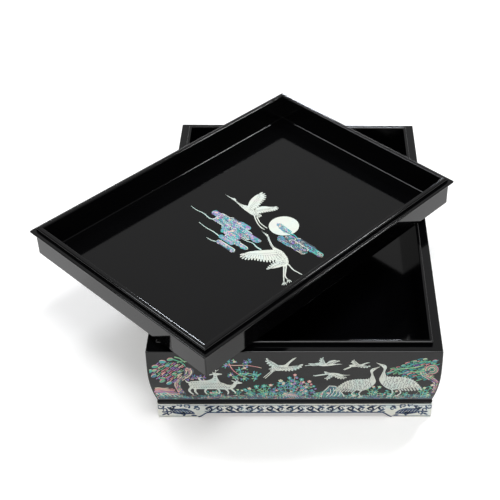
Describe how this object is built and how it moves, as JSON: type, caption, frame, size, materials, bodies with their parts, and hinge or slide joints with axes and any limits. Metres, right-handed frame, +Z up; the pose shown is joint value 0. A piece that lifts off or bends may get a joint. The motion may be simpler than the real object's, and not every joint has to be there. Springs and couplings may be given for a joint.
{
  "type": "document box with lift-out tray",
  "caption": "Black lacquered document box with cut-shell inlay on a bracket-footed plinth, and a shallow lift-out tray laid turned across the open top.",
  "frame": {"origin": "centre of the plinth, on the plane that its feet stand on", "axes": "+Z up, +Y to the back, +X to the right as seen from the front in the picture"},
  "size_m": [0.4178, 0.4222, 0.1262],
  "materials": {
    "black_lacquer": "gloss black lacquer",
    "inside_lacquer": "gloss black lacquer",
    "tray_lacquer": "gloss black lacquer",
    "plinth_wood": "stained dark, matt",
    "plinth_shell": "polished shell",
    "white_shell": "polished shell",
    "colour_shell": "polished iridescent shell"
  },
  "bodies": {
    "box": {"body_panel_back": "black_lacquer", "body_panel_front": "black_lacquer", "body_panel_left": "black_lacquer", "body_panel_right": "black_lacquer", "bottom_board": "inside_lacquer", "inlay_cranes_back": "white_shell", "inlay_cranes_front": "white_shell", "inlay_cranes_left": "white_shell", "inlay_cranes_right": "white_shell", "inlay_deer_back": "white_shell", "inlay_deer_front": "white_shell", "inlay_deer_left": "white_shell", "inlay_deer_right": "white_shell", "inlay_pines_back": "colour_shell", "inlay_pines_front": "colour_shell", "inlay_pines_left": "colour_shell", "inlay_pines_right": "colour_shell", "inlay_plants_back": "colour_shell", "inlay_plants_front": "colour_shell", "inlay_plants_left": "colour_shell", "inlay_plants_right": "colour_shell", "inlay_rocks_back": "colour_shell", "inlay_rocks_front": "colour_shell", "inlay_rocks_left": "colour_shell", "inlay_rocks_right": "colour_shell", "liner_back": "inside_lacquer", "liner_front": "inside_lacquer", "liner_left": "inside_lacquer", "liner_right": "inside_lacquer", "moulding_back": "black_lacquer", "moulding_front": "black_lacquer", "moulding_left": "black_lacquer", "moulding_right": "black_lacquer", "plinth_glue_blocks": "plinth_wood", "plinth_rail_back": "plinth_wood", "plinth_rail_front": "plinth_wood", "plinth_rail_left": "plinth_wood", "plinth_rail_right": "plinth_wood", "plinth_shell_facing_back": "plinth_shell", "plinth_shell_facing_front": "plinth_shell", "plinth_shell_facing_left": "plinth_shell", "plinth_shell_facing_right": "plinth_shell"},
    "tray": {"tray_floor": "tray_lacquer", "tray_inlay_cloud_right": "colour_shell", "tray_inlay_clouds_left": "colour_shell", "tray_inlay_crane_dancing": "white_shell", "tray_inlay_crane_flying": "white_shell", "tray_inlay_moon": "white_shell", "tray_inlay_moon_cloud": "colour_shell", "tray_rim_back": "tray_lacquer", "tray_rim_front": "tray_lacquer", "tray_rim_left": "tray_lacquer", "tray_rim_right": "tray_lacquer", "tray_wall_back": "tray_lacquer", "tray_wall_front": "tray_lacquer", "tray_wall_left": "tray_lacquer", "tray_wall_right": "tray_lacquer"}
  },
  "joints": [
    {"name": "tray_lift", "type": "slide", "parent": "box", "child": "tray", "axis": [0, 0, 1], "range_m": [0, 0.15]}
  ]
}
